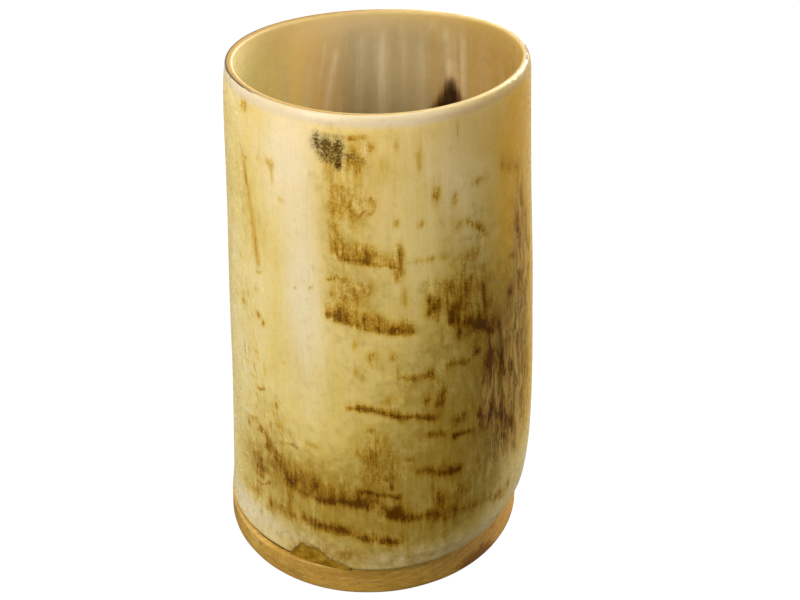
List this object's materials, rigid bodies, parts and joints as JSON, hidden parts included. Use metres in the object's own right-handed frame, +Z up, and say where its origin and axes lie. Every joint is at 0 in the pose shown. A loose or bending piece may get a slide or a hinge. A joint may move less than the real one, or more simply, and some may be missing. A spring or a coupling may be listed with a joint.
{
  "type": "horn beaker",
  "caption": "Straight-sided drinking beaker: a polished cow-horn barrel, open at the top, glued over the spigot of a turned wood base.",
  "frame": {"origin": "centre of the underside of the wood base", "axes": "+Z up through the mouth, -Y the front, +X the right"},
  "size_m": [0.0839, 0.0821, 0.1312],
  "materials": {
    "horn": "polished",
    "base_wood": "satin",
    "glue": "matte",
    "seal": "glossy",
    "filler": "matte"
  },
  "bodies": {
    "root": {"horn_barrel": "horn", "wood_base": "base_wood", "glue_joint": "glue", "floor_seal": "seal", "edge_filler": "filler"}
  },
  "joints": []
}
